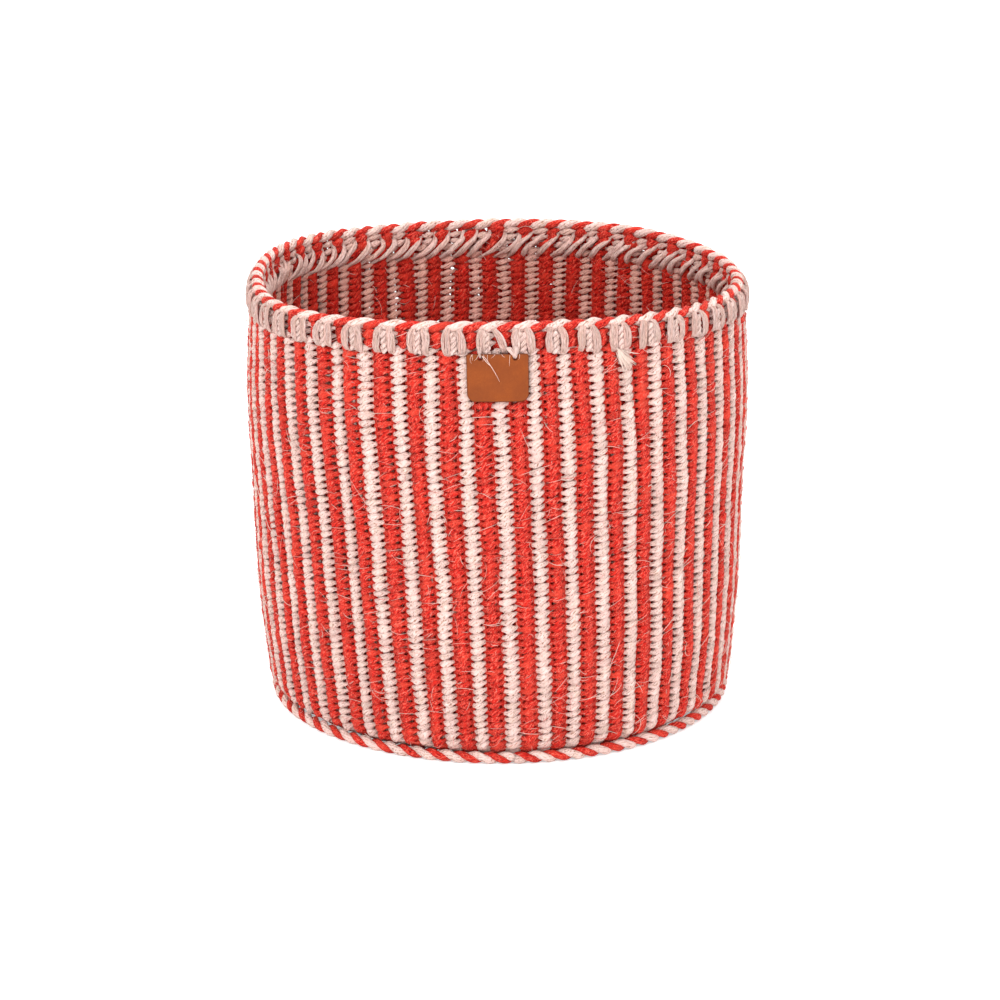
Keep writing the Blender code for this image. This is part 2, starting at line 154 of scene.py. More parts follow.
def tubeMesh(name, rings, lay, tone, material, body="basket", within=None):
    # rings[tube, ring, side] are points. Sides join into four-cornered faces and both ends are capped.
    # lay is the distance along in mm, kept as U; V goes once round; tone is one number per strand;
    # the last, a share of painted shade, is 1 on the basket's inside and 0 outside, and on the warp cords a random
    # share that varies their tone
    tubes, count, sides = rings.shape[:3]
    index = np.arange(tubes * count * sides).reshape(tubes, count, sides)
    beside = np.roll(index, -1, axis=2)
    quads = np.stack([index[:, :-1], beside[:, :-1], beside[:, 1:], index[:, 1:]], axis=-1).reshape(-1, 4)
    caps = np.concatenate([index[:, 0, ::-1], index[:, -1]]).reshape(-1, sides)
    loops = np.concatenate([quads.ravel(), caps.ravel()])
    starts = np.concatenate([np.arange(len(quads)) * 4, len(quads) * 4 + np.arange(len(caps)) * sides])
    u = np.broadcast_to(lay[:, :, None], index.shape)
    v = np.broadcast_to(np.arange(sides) / sides, index.shape)
    quadU = np.stack([u[:, :-1], u[:, :-1], u[:, 1:], u[:, 1:]], axis=-1).ravel()
    quadV = np.stack([v[:, :-1], v[:, :-1] + 1 / sides, v[:, :-1] + 1 / sides, v[:, :-1]], axis=-1).ravel()
    capU, capV = u.ravel()[caps.ravel()], v.ravel()[caps.ravel()]
    mesh = bpy.data.meshes.new(name)
    mesh.vertices.add(index.size)
    mesh.vertices.foreach_set("co", rings.astype(np.float32).ravel())
    mesh.loops.add(len(loops))
    mesh.loops.foreach_set("vertex_index", loops.astype(np.int32))
    mesh.polygons.add(len(starts))
    mesh.polygons.foreach_set("loop_start", starts.astype(np.int32))
    mesh.update(calc_edges=True)
    smooth = np.ones(len(starts), bool)
    smooth[len(quads):] = False
    mesh.polygons.foreach_set("use_smooth", smooth)
    corners = np.stack([np.concatenate([quadU, capU]), np.concatenate([quadV, capV])], axis=-1)
    mesh.uv_layers.new(name="lay").data.foreach_set("uv", corners.astype(np.float32).ravel())
    tones = np.broadcast_to(tone[:, :, None], index.shape).astype(np.float32).ravel()
    mesh.attributes.new("tone", "FLOAT", "POINT").data.foreach_set("value", tones)
    if within is not None:
        insides = np.broadcast_to(within[:, :, None], index.shape).astype(np.float32).ravel()
        mesh.attributes.new("within", "FLOAT", "POINT").data.foreach_set("value", insides)
    mesh.materials.append(material)
    piece = bpy.data.objects.new(name, mesh)
    bpy.context.scene.collection.objects.link(piece)
    if body:
        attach(piece, body)
    return piece


def unit(vectors):
    return vectors / np.maximum(np.linalg.norm(vectors, axis=-1, keepdims=True), 1e-12)


def lengthAlong(path):
    # Running length of each path in mm
    steps = np.linalg.norm(np.diff(path, axis=1), axis=-1)
    return np.concatenate([np.zeros((len(path), 1)), np.cumsum(steps, axis=1)], axis=1) / mm


def tubeRings(path, outward, thick, wide, sides):
    # Around each path point: outward * thick * cos(a) + sideways * wide * sin(a), square to the path
    ahead = unit(np.gradient(path, axis=1))
    sideways = unit(np.cross(ahead, outward))
    upward = np.cross(sideways, ahead)
    a = 2 * math.pi * np.arange(sides) / sides
    thick, wide = np.asarray(thick)[..., None, None], np.asarray(wide)[..., None, None]
    return (
        path[:, :, None]
        + upward[:, :, None] * thick * np.cos(a)[:, None]
        + sideways[:, :, None] * wide * np.sin(a)[:, None]
    )


def outwardAt(angle, along, out):
    # The weave's own outward direction there
    return unit(weavePoint(angle, along, out + 1 * mm) - weavePoint(angle, along, out))


class Wire:
    # A node's output. + - * on it add Math nodes, and node() adds any other node
    def __init__(self, tree, socket=None):
        self.tree, self.socket = tree, socket

    def node(self, kind, settings=(), links=(), output=0):
        made = self.tree.nodes.new(kind)
        for key, value in dict(settings).items():
            if key == "stops":
                ramp = made.color_ramp.elements
                while len(ramp) < len(value):
                    ramp.new(0.5)
                for stop, (place, colour) in zip(ramp, value):
                    stop.position, stop.color = place, colour
            else:
                setattr(made, key, value)
        for key, value in dict(links).items():
            if isinstance(value, Wire):
                self.tree.links.new(value.socket, made.inputs[key])
            else:
                made.inputs[key].default_value = value
        return Wire(self.tree, made.outputs[output] if len(made.outputs) else None)

    def also(self, output):
        return Wire(self.tree, self.socket.node.outputs[output])

    def math(self, operation, *values):
        return self.node("ShaderNodeMath", {"operation": operation}, enumerate(values))

    def clipped(self, *values):
        return self.node("ShaderNodeMath", {"operation": "MULTIPLY_ADD", "use_clamp": True}, enumerate(values))

    def blended(self, factor, first, second, mode="MIX"):
        settings = {"data_type": "RGBA", "blend_type": mode}
        return self.node("ShaderNodeMix", settings, {0: factor, 6: first, 7: second}, 2)

    def __add__(self, other):
        return self.math("ADD", self, other)

    def __sub__(self, other):
        return self.math("SUBTRACT", self, other)

    def __mul__(self, other):
        return self.math("MULTIPLY", self, other)

    def __rsub__(self, other):
        return self.math("SUBTRACT", other, self)

    __radd__, __rmul__ = __add__, __mul__


def newMaterial(name):
    material = bpy.data.materials.new(name)
    material.use_nodes = True
    material.node_tree.nodes.clear()
    return material, Wire(material.node_tree)


# Sisal: colours from the grooves up to the crests (groove and shadow are painted shade, crest a painted highlight), the
# painted shade of the inside, and the finish
sisalLooks = {
    "naturalSisal": {
        "paintedGrooveShade": (0.33, 0.155, 0.105, 1),
        "shadow": (0.66, 0.43, 0.34, 1),
        "body": (0.845, 0.60, 0.545, 1),
        "paintedCrestHighlight": (0.91, 0.72, 0.68, 1),
        "stain": (0.72, 0.55, 0.41, 1),
        "blush": (0.93, 0.62, 0.56, 1),
        # painted shade of the basket's inside, with a reddish cast of bounced light
        "inside": (1.0, 0.77, 0.70, 1),
        "roughness": 0.62,
    },
    "redSisal": {
        "paintedGrooveShade": (0.16, 0.001, 0.001, 1),
        "shadow": (0.41, 0.004, 0.003, 1),
        "body": (0.64, 0.018, 0.009, 1),
        "paintedCrestHighlight": (0.88, 0.20, 0.14, 1),
        "stain": (0.56, 0.013, 0.009, 1),
        "blush": (0.84, 0.070, 0.038, 1),
        # painted shade of the basket's inside, with a reddish cast of bounced light
        "inside": (0.92, 0.65, 0.57, 1),
        "roughness": 0.58,
    },
}
sisalTwist = {"lay": 28.0, "plies": 2, "fibreGroups": 7, "bumpHeight": 1.0 * mm}


def sisal(name):
    # Twist = U / lay + V, so ridges run as a helix; plies and fibre groups are |sin| of whole multiples of it
    look = sisalLooks[name]
    material, wire = newMaterial(name)
    spot = wire.node("ShaderNodeUVMap", {"uv_map": "lay"})
    u = wire.node("ShaderNodeSeparateXYZ", links={"Vector": spot})
    v = u.also("Y")
    tone = wire.node("ShaderNodeAttribute", {"attribute_name": "tone"}, output="Fac")
    within = wire.node("ShaderNodeAttribute", {"attribute_name": "within"}, output="Fac")
    twist = u * (1 / sisalTwist["lay"]) + v
    ply = wire.math("ABSOLUTE", wire.math("SINE", twist * (math.pi * sisalTwist["plies"])))
    finePlace = wire.node("ShaderNodeCombineXYZ", links={0: u * 0.55, 1: twist * 19.0, 2: tone * 37.0})
    fine = wire.node("ShaderNodeTexNoise", links={"Vector": finePlace, "Scale": 1.0, "Detail": 3.0, "Roughness": 0.65})
    broadPlace = wire.node("ShaderNodeCombineXYZ", links={0: u * 0.38, 1: twist * 9.0, 2: tone * 53.0})
    broad = wire.node("ShaderNodeTexNoise", links={"Vector": broadPlace, "Scale": 1.0, "Detail": 2.0, "Roughness": 0.6})
    group = wire.math("ABSOLUTE", wire.math("SINE", twist * (math.pi * sisalTwist["fibreGroups"]) + broad * 2.2))
    cloudPlace = wire.node("ShaderNodeCombineXYZ", links={0: u * 0.05, 1: tone * 11.0, 2: v})
    cloud = wire.node("ShaderNodeTexNoise", links={"Vector": cloudPlace, "Scale": 1.0, "Detail": 2.0})
    relief = ply * 0.25 + group * 0.25 + fine * 0.7 + broad * 0.6
    # Painted shade and highlight: the fine noise that raises the bump also darkens its low places to the groove and
    # shadow colours and lightens its high places to the crest colour; body, stain and blush are the fibre's own colour
    colour = wire.blended(wire.clipped(fine, 9.0, -3.4), look["paintedGrooveShade"], look["shadow"])
    colour = wire.blended(wire.clipped(fine + broad + group * 0.25, 5.0, -4.75), colour, look["body"])
    colour = wire.blended(wire.clipped(fine, 9.0, -4.65) * 0.9, colour, look["paintedCrestHighlight"])
    colour = wire.blended(wire.clipped(cloud, 3.5, -1.75) * 0.45, colour, look["stain"])
    colour = wire.blended(wire.clipped(tone, 3.0, -1.7) * 0.55, colour, look["blush"])
    # Painted shade of the basket's inside, with a reddish cast of bounced light, multiplied in by the share stored on
    # the mesh
    colour = wire.blended(within, colour, look["inside"], "MULTIPLY")
    roughness = look["roughness"] + fine * 0.2
    bump = wire.node("ShaderNodeBump", links={"Height": relief, "Distance": sisalTwist["bumpHeight"], "Strength": 1.0})
    shader = wire.node(
        "ShaderNodeBsdfPrincipled",
        links={"Base Color": colour, "Roughness": roughness, "Normal": bump, "Specular IOR Level": 0.16},
    )
    wire.node("ShaderNodeOutputMaterial", links={"Surface": shader})
    return material


natural, red = sisal("naturalSisal"), sisal("redSisal")
print("materials of the strands made")

# The twined rows. A turn is once round; the count of columns grows outwards from the floor's centre.
weft = {
    "rowPitch": 3.45 * mm,
    "zoneTurns": (0, 2, 7, 12),  # the turns at which the floor's count of columns grows
    "zoneColumns": (10, 20, 40, 100),
    "turns": 90,
    "lastRow": top - 6.75 * mm,  # middle of the uppermost row under the rim
    "depth": 2.3 * mm,  # a stitch's distance from the wall's middle
    "lift": 0.92 * mm,  # half the climb of a stitch, which gives its slant
    "tall": (1.20, 0.78, 1.25, 2.05, 2.30),  # half heights in mm by how far out: crossing, tip, mid stitch
    "tallAt": (0.0, 0.30, 0.60, 0.90, 1.0),
    "thick": (1.30 * mm, 1.15 * mm),
    "flatness": 0.72,  # of the strand's section: 1 is oval, less is boxy
    "size": {1: 0.97, -1: 1.05},  # natural and red strand
    "insideSize": {1: 0.83, -1: 1.20},  # and how much more on the inside
    "crossing": 0.62,  # the less, the more suddenly strands change sides
    "levelFrom": 68,  # the rows grow level from here up to the band
    "bandTurn": 88,  # from here on the columns lie half a column over
    "backStep": 0.03,
    "piecesOnWall": 5,
    "columnDrift": 0.068,
    "rowWobble": 0.28 * mm,
}
weftStart = upWall(weft["lastRow"]) - (weft["turns"] - 0.5) * weft["rowPitch"]
columnDrift = dice.normal(0, weft["columnDrift"], (100, 1)) * 0.8 + dice.normal(0, weft["columnDrift"], (100, 16))
rowWobble = dice.normal(0, weft["rowWobble"], (24, 30))


def weftPhase(turn):
    # Half waves of the strand: whole numbers are stitches, and phase is the column number on the wall
    knots = np.array(weft["zoneTurns"] + (weft["turns"] + 1,), float)
    phase = np.concatenate([[0], np.cumsum(np.diff(knots) * weft["zoneColumns"])])
    return np.interp(turn, knots, phase - phase[3] + 50)


def weftAlong(turn):
    # A spiral that levels out near the rim, where it takes its climb in a short step at the back
    f = turn - np.floor(turn)
    e = weft["backStep"]
    saw = np.interp(f, [0, e, 1 - e, 1], [0, 0.5 - e, e - 0.5, 0])
    level = smoothStep(turn, weft["levelFrom"], weft["bandTurn"])
    return weftStart + weft["rowPitch"] * (turn + level * saw)


def weftRings(turn, side, sides):
    # out = depth * cos(pi phase); climb = lift * a wave nearly straight from one crossing to the next.
    # Both are turned over for the red strand
    phase = weftPhase(turn) + 0.5 * smoothStep(turn, weft["bandTurn"] - 0.02, weft["bandTurn"] + 0.02)
    along = weftAlong(turn)
    c, s = side * np.cos(math.pi * phase), side * np.sin(math.pi * phase)
    reach = np.abs(c)
    out = (weft["depth"] + perStitch(phase, 0.14 * mm)) * np.sign(c) * reach ** weft["crossing"]
    straight = 2 / math.pi * np.arcsin(s * 0.96)
    climb = (weft["lift"] + perStitch(phase, 0.20 * mm)) * straight + perStitch(phase, 0.10 * mm)
    size = weft["size"][side] * (1 + perStitch(phase, 0.10)) * np.where(c < 0, weft["insideSize"][side], 1)
    tall = np.interp(reach, weft["tallAt"], weft["tall"]) * mm * size
    thick = (weft["thick"][0] + (weft["thick"][1] - weft["thick"][0]) * reach) * size
    bend = np.clip((along - form["floorRadius"]) / form["cornerRadius"], 0, math.pi / 2)
    pressed = smoothStep(bend, math.radians(8), math.radians(22)) * (1 - smoothStep(bend, math.radians(48), math.radians(62)))
    out = np.where(out > 0, out * (1 - 0.7 * pressed), out)
    onWall = smoothStep(turn, 12, 16)
    share = along / upWall(top)
    drift = field(columnDrift, turn + 0.5, share) * columnTurn * onWall
    along = along + climb + field(rowWobble, turn * 1.0, share) * onWall
    angle = form["frontAngle"] + math.pi + 2 * math.pi * turn + drift
    a = -math.pi + 2 * math.pi * np.arange(sides) / sides
    # Each side of the strand is a little proud or hollow for a few mm, as its fibres lie
    coarse = dice.normal(0, 0.11, (len(turn) // 4 + 2, sides))
    place = np.arange(len(turn)) / 4
    low, share4 = place.astype(int), (place % 1)[:, None]
    ragged = 1 + coarse[low] * (1 - share4) + coarse[low + 1] * share4
    tall, thick = tall[:, None] * ragged, thick[:, None] * ragged
    aside, proud = (np.sign(w) * np.abs(w) ** weft["flatness"] for w in (np.cos(a).round(6), np.sin(a).round(6)))
    rings = weavePoint(angle[:, None], along[:, None] + tall * aside, out[:, None] + thick * proud)
    rings[..., 2] = np.maximum(rings[..., 2], 0)
    middle = weavePoint(angle, along, out)
    # Painted shade: full where the strand lies on the basket's inside, cut to a third of it from just below the band
    within = smoothStep(-c, -0.2, 0.4) * (1 - 0.65 * smoothStep(turn, 85.5, 88.5))
    return rings, middle, perStitch(phase, 0.22) + 0.5, within


def makeWeft():
    skins = ("wall_stitches_outside", "wall_and_floor_stitches_inside", "floor_stitches_under")
    knots = weft["zoneTurns"] + (weft["turns"],)
    for material, side, word in ((natural, 1, "natural"), (red, -1, "red")):
        # Floor: 4 steps to a column; wall: 6
        floorTurns = np.concatenate(
            [np.arange(a, b, 1 / (n * 4)) for a, b, n in zip(knots[:3], knots[1:4], weft["zoneColumns"])]
            + [np.arange(12, 29, 1 / 400)]
        )
        wallTurns = np.linspace(29, weft["turns"], 600 * (weft["turns"] - 29) + 1)
        for label, turns, sides, parts in (("floor", floorTurns, 6, 1), ("wall", wallTurns, 7, weft["piecesOnWall"])):
            rings, middle, tone, within = weftRings(turns, side, sides)
            lay = lengthAlong(middle[None])[0]
            cuts = np.linspace(0, len(turns) - 1, parts + 1).astype(int)
            for k in range(parts):
                span = slice(cuts[k], cuts[k + 1] + 1)
                piece = tubeMesh(
                    f"weft_{word}_{label}_{k + 1}", rings[None, span], lay[None, span], tone[None, span], material,
                    within=within[None, span],
                )
                "natural_strand" if side > 0 else "red_strand"
                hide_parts(*skins)


makeWeft()
print("twined rows made")

# The rope along the rim's top and the heavier one round the bottom edge: height or radius of its
# middle, how far each strand swings out and up, its half sizes, and which way it slants
ropes = {
    "rim": {"height": top - 2.85 * mm, "out": 1.5 * mm, "up": 0.95 * mm, "tall": 1.9 * mm, "thick": 1.5 * mm,
            "slant": 1, "shift": 0.5, "uneven": 0.15 * mm, "size": {1: 1.10, -1: 0.94}},
    "edge": {"height": 3.0 * mm, "radius": 113.1 * mm, "out": 1.3 * mm, "up": 1.1 * mm, "tall": 1.8 * mm,
             "thick": 1.6 * mm, "slant": -1, "shift": 0.0, "uneven": 0.16 * mm, "size": {1: 1.06, -1: 0.95}},
}


def makeRope(which):
    # Each strand: out * cos(pi column), slant * up * sin(pi column) about a level ring; the other turned over
    rope = ropes[which]
    column = np.arange(0, 100, 1 / 8)
    phase = column + rope["shift"]
    for material, side, word in ((natural, 1, "natural"), (red, -1, "red")):
        loose = perStitch(phase, rope["uneven"]) * np.sin(math.pi * column / 100)
        c, s = side * np.cos(math.pi * phase), side * np.sin(math.pi * phase) * rope["slant"]
        angle = columnAngle(column)
        if which == "rim":
            along = upWall(rope["height"]) + rope["up"] * s + loose
            path = weavePoint(angle, along, rope["out"] * c + loose)
            outward = outwardAt(angle, along, rope["out"] * c)
        else:
            radius = rope["radius"] + rope["out"] * c + loose
            turned = angle + form["lean"]
            outward = np.stack([np.cos(turned), np.sin(turned), 0 * turned], axis=-1)
            path = outward * radius[:, None]
            path[:, 2] = rope["height"] + rope["up"] * s
        middle = np.concatenate([path, path[:1]])[None]
        size = rope["size"][side]
        rings = closedRings(path, outward, rope["thick"] * size, rope["tall"] * size, 10)
        rings[..., 2] = np.maximum(rings[..., 2], 0)
        tone = perStitch(np.append(phase, phase[0]), 0.22) + 0.5
        piece = tubeMesh(f"{which}_rope_{word}", rings[None], lengthAlong(middle), tone[None], material)
        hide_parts(f"{which}_strand_{word}")


def closedRings(path, outward, thick, wide, sides):
    # Rings square to a path that comes back to its start; the first ring is used again as the last
    ahead = unit(np.roll(path, -1, axis=0) - np.roll(path, 1, axis=0))
    sideways = unit(np.cross(ahead, outward))
    upward = np.cross(sideways, ahead)
    a = 2 * math.pi * np.arange(sides) / sides
    rings = (
        path[:, None]
        + upward[:, None] * (thick * np.cos(a))[:, None]
        + sideways[:, None] * (wide * np.sin(a))[:, None]
    )
    return np.concatenate([rings, rings[:1]])


makeRope("rim")
makeRope("edge")
print("rim and edge ropes made")

# A warp cord's way through the rim: columns over, height below the rim (mm), out (mm), half width and
# half thickness of the flat bundle (mm)
warp = {
    "stations": (
        (0.0, 26.0, 0.0, 0.9, 0.8),
        (-0.15, 21.0, -0.6, 1.0, 0.8),
        (-0.55, 18.6, -2.8, 1.25, 0.8),
        (-0.85, 16.8, -4.5, 1.5, 0.85),
        (-1.2, 14.4, -4.9, 1.55, 0.9),
        (-1.55, 12.0, -4.8, 1.5, 0.9),
        (-1.85, 9.9, -3.4, 1.15, 0.8),
        (-2.0, 7.4, -0.9, 0.95, 0.8),
        (-2.0, 4.4, 0.6, 1.1, 0.7),
        (-2.0, 3.2, 2.4, 1.3, 0.8),
        (-2.0, 3.9, 3.9, 1.6, 0.85),
        (-2.0, 6.2, 4.7, 1.8, 0.9),
        (-2.0, 9.2, 4.9, 1.85, 0.95),
        (-2.0, 12.0, 4.7, 1.75, 0.9),
        (-2.0, 14.0, 3.7, 1.5, 0.8),
        (-2.0, 15.0, 2.0, 1.0, 0.7),
    ),
    "fibreGroups": 6,  # strands side by side in one bundle
    "bow": 0.06,  # how far the outside floats bow away from the natural braid, in columns
    "gather": 0.10,  # and how far their tops come towards it
    "nearer": 0.10,  # how much closer they lie to it over their whole length
    "slantSpread": 0.26,
    "tagCord": 2,  # the cord whose float slants over to the tag's right hole
    "tagSlant": 0.62,
}


def makeWarps():
    # Each cord follows its stations; the outside float bows by sin over its length, left and right in turn.
    # A bundle's strands lie side by side: sideways by their share of the width, crossing over slowly
    over, down, out, wide, thick = np.array(warp["stations"]).T
    knots = np.arange(len(over), dtype=float)
    steps = np.linspace(0, len(over) - 1, 2 * (len(over) - 1) + 1)
    read = lambda values: smoothThrough(steps, knots, values)[None]
    groups = warp["fibreGroups"]
    cord = np.repeat(np.arange(100), groups)[:, None]
    strand = np.tile(np.arange(groups), 100)[:, None]

    def perCord(spread):
        return np.repeat(dice.normal(0, spread, (100, 1)), groups, axis=0)

    # The slanted part is least like its neighbours
    loose = np.exp(-((steps - 4.5) / 2.2) ** 2)[None]
    floatShare = np.clip((steps - 9) / 6, 0, 1)[None]
    bow = warp["bow"] * np.sin(math.pi * floatShare) - warp["gather"] * np.exp(-((steps - 9.6) / 1.0) ** 2)[None]
    bow = np.where(cord % 2 == 0, 1, -1) * (bow - warp["nearer"] * smoothStep(steps, 7, 9)[None])
    sway = perCord(warp["slantSpread"]) * loose + perCord(0.07) * floatShare
    height = top - read(down) * mm + perCord(0.8 * mm) * loose + perCord(0.6 * mm) * smoothStep(steps, 12, 14)[None]
    across = (2 * strand + 1) / groups - 1 + 0.55 * np.sin(steps * 0.5 + 3 * strand + perCord(2.0))
    across = np.clip(across, -1.1, 1.1) * (read(wide) - 0.45) * mm
    toTag = np.where(cord == warp["tagCord"], warp["tagSlant"], 0) * floatShare
    column = cord + read(over) + sway + bow + toTag + across / (124 * mm * columnTurn)
    along = upWall(height)
    apart = np.cos(steps * 0.7 + 2.3 * strand + perCord(2.0)) * 0.3 * (read(thick) - 0.3)
    outMm = (read(out) + apart + perCord(0.12) * floatShare) * mm
    path = weavePoint(columnAngle(column), along, outMm)
    # Outward turned with the path, so the bundle stays flat on the wall over the top
    ahead = unit(np.gradient(path, axis=1))
    around = unit(weavePoint(columnAngle(column) + 0.001, along, outMm) - path)
    outward = np.cross(around, ahead)
    size = (1 + dice.normal(0, 0.12, (100 * groups, 1))) * (1.5 - 0.5 * smoothStep(steps, 6.0, 8.0))
    rings = tubeRings(path, outward, 0.50 * mm * size, 0.55 * mm * size, 5)
    tone = np.broadcast_to(dice.uniform(0.0, 0.75, (100 * groups, 1)), height.shape)
    # Each strand takes a random share of the inside's painted shade tint, which varies its tone
    within = np.broadcast_to(dice.uniform(0, 0.55, (100 * groups, 1)), height.shape)
    cords = tubeMesh("warp_cords", rings, lengthAlong(path), tone, natural, within=within)
    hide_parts(*[f"warp_cord_{k:02d}" for k in range(1, 51)])


# The natural chevrons between two floats: how far down they run (mm), and how their two strands wind
chevrons = {"down": (4.6, 14.2), "lay": 5.2, "aside": 0.95 * mm, "depth": 0.55 * mm, "out": 3.85 * mm, "radius": 1.0 * mm}


def makeChevrons():
    # Two strands wind about an upright line over each natural column of the band: aside * cos, depth * sin
    down = np.linspace(*chevrons["down"], 21)[None]
    unitColumn = np.repeat(np.arange(1, 100, 2) + 0.5, 2)[:, None]
    half = np.tile([0, math.pi], 50)[:, None]
    turn = 2 * math.pi * down / chevrons["lay"] + half + np.repeat(dice.uniform(0, 6, (50, 1)), 2, axis=0)
    reach = 124 * mm * columnTurn
    column = unitColumn + chevrons["aside"] * np.cos(turn) / reach + np.repeat(dice.normal(0, 0.05, (50, 1)), 2, axis=0)
    along, out = upWall(top - down * mm), chevrons["out"] + chevrons["depth"] * np.sin(turn)
    path = weavePoint(columnAngle(column), along, out)
    outward = outwardAt(columnAngle(column), along, out)
    size = chevrons["radius"] * (1 + dice.normal(0, 0.08, path.shape[:2]))
    rings = tubeRings(path, outward, size * 0.85, size, 6)
    tone = np.broadcast_to(dice.uniform(0.0, 0.75, (100, 1)), path.shape[:2])
    piece = tubeMesh("band_chevrons", rings, lengthAlong(path), tone, natural)


# Flat cords between the columns close the weave where strands cross; at few places light comes through
fillers = {"wide": 1.9 * mm, "deep": 1.1 * mm, "openShare": 0.03, "ends": (cornerHeight, top - 13 * mm, top - 3.5 * mm)}


def makeFillers():
    # One upright cord at every half column of the wall, then at every whole one of the band,
    # thinned to a thread at some rows
    for name, shift, low, high in (("wall", 0.5, *fillers["ends"][:2]), ("band", 0.0, *fillers["ends"][1:])):
        rows = int((high - low) / weft["rowPitch"])
        along = np.linspace(upWall(low), upWall(high), 2 * rows + 1)[None]
        column = np.arange(100)[:, None] + shift + 0 * along
        column = column + field(columnDrift, column / 100, along / upWall(top))
        closed = np.where(dice.uniform(size=(100, rows)) < fillers["openShare"], 0.12, 1.0).repeat(2, axis=1)
        closed = np.concatenate([closed, closed[:, -1:]], axis=1)
        path = weavePoint(columnAngle(column), along, 0.0)
        outward = outwardAt(columnAngle(column), along, 0.0)
        rings = tubeRings(path, outward, fillers["deep"] * closed, fillers["wide"] * closed, 4)
        tone = np.broadcast_to(dice.uniform(0, 1, (100, 1)), path.shape[:2])
        piece = tubeMesh(f"hidden_cords_{name}", rings, lengthAlong(path), tone, red)


def makeFloorWarps():
    # Straight spokes inside the floor and the lower wall, as many in each zone as the rows have columns
    rings, lays, tones = [], [], []
    starts = [0.5 * mm] + list(weftAlong(np.array(weft["zoneTurns"][1:], float)))
    ends = starts[1:] + [upWall(top - 25 * mm)]
    for count, start, end, firstTurn in zip(weft["zoneColumns"], starts, ends, weft["zoneTurns"]):
        along = np.linspace(start, end, 20)[None]
        angle = form["frontAngle"] + math.pi + 2 * math.pi * np.arange(count)[:, None] / count
        angle, along = np.broadcast_arrays(angle, along)
        path = weavePoint(angle, along, 0.0)
        rings.append(tubeRings(path, outwardAt(angle, along, 0.0), 0.9 * mm, 0.9 * mm, 5))
        lays.append(lengthAlong(path))
        tones.append(np.full(along.shape, 0.5))
    spokes = tubeMesh("floor_cords", np.concatenate(rings), np.concatenate(lays), np.concatenate(tones), natural)


makeWarps()
makeChevrons()
makeFillers()
makeFloorWarps()
print("warp cords made")

# The tag: a rounded leather plate with two holes, hanging from its axis (sizes as its solid has them)
tag = {
    "width": 28 * mm,
    "height": 22 * mm,
    "thickness": 1.5 * mm,
    "cornerTop": 1.3 * mm,
    "cornerFoot": 3.8 * mm,
    "axisHeight": top - 12.6 * mm,
    "topDrop": 0.9 * mm,
    "topOffset": 5.5 * mm,
    "footOffset": 4.1 * mm,
    "holeAcross": 7.8 * mm,
    "holeDrop": 2.7 * mm,
    "holeRadius": 0.9 * mm,
    "edgeRound": 0.7 * mm,
    "leather": (0.250, 0.050, 0.0025, 1),
    "leatherLight": (0.300, 0.068, 0.0050, 1),
    "leatherDark": (0.202, 0.0385, 0.0022, 1),
    "burnish": (0.10, 0.022, 0.006, 1),
}


def tagPoint(across, drop, out):
    # Right of the tag's middle, below its axis, out from its inner face; it hangs plumb on the round wall
    height = tag["axisHeight"] - drop
    lying = tag["topOffset"] - (tag["topOffset"] - tag["footOffset"]) * drop / tag["height"]
    reach = middleRadius(height) + tag["topOffset"]
    lean = form["lean"] * (tag["axisHeight"] - height) / top
    return weavePoint(form["frontAngle"] - lean + across / reach, upWall(height), lying + out)


def edgeDistance(x, y):
    # Distance inside the rounded outline or from a hole's rim, whichever is less
    down = y - tag["topDrop"] - tag["height"] / 2
    corner = np.where(down < 0, tag["cornerTop"], tag["cornerFoot"])
    qx, qy = np.abs(x) - tag["width"] / 2 + corner, np.abs(down) - tag["height"] / 2 + corner
    outline = corner - np.hypot(np.maximum(qx, 0), np.maximum(qy, 0)) - np.minimum(np.maximum(qx, qy), 0)
    hole = np.hypot(np.abs(x) - tag["holeAcross"], y - tag["holeDrop"]) - tag["holeRadius"]
    return np.maximum(np.minimum(outline, hole), 0)


def halfOutline(count):
    # Points round the right half of the tag, evenly spaced along it, from the middle of the top edge
    half, first, last = tag["width"] / 2, tag["topDrop"], tag["topDrop"] + tag["height"]
    r, s = tag["cornerTop"], tag["cornerFoot"]
    turn = np.radians(np.linspace(-90, 0, 13))
    xs = np.concatenate([[0], half - r + r * np.cos(turn), half - s + s * np.cos(turn + math.pi / 2), [0, 0]])
    ys = np.concatenate([[first], first + r + r * np.sin(turn), last - s + s * np.sin(turn + math.pi / 2), [last, first]])
    run = np.concatenate([[0], np.cumsum(np.hypot(np.diff(xs), np.diff(ys)))])
    even = np.linspace(0, run[-1], count + 1)[:-1]
    # Every corner point of the outline is kept, so the rounded corners stay round
    places = np.unique(np.round(np.concatenate([even, run[:-1]]), 9))
    return np.interp(places, run, xs), np.interp(places, run, ys)


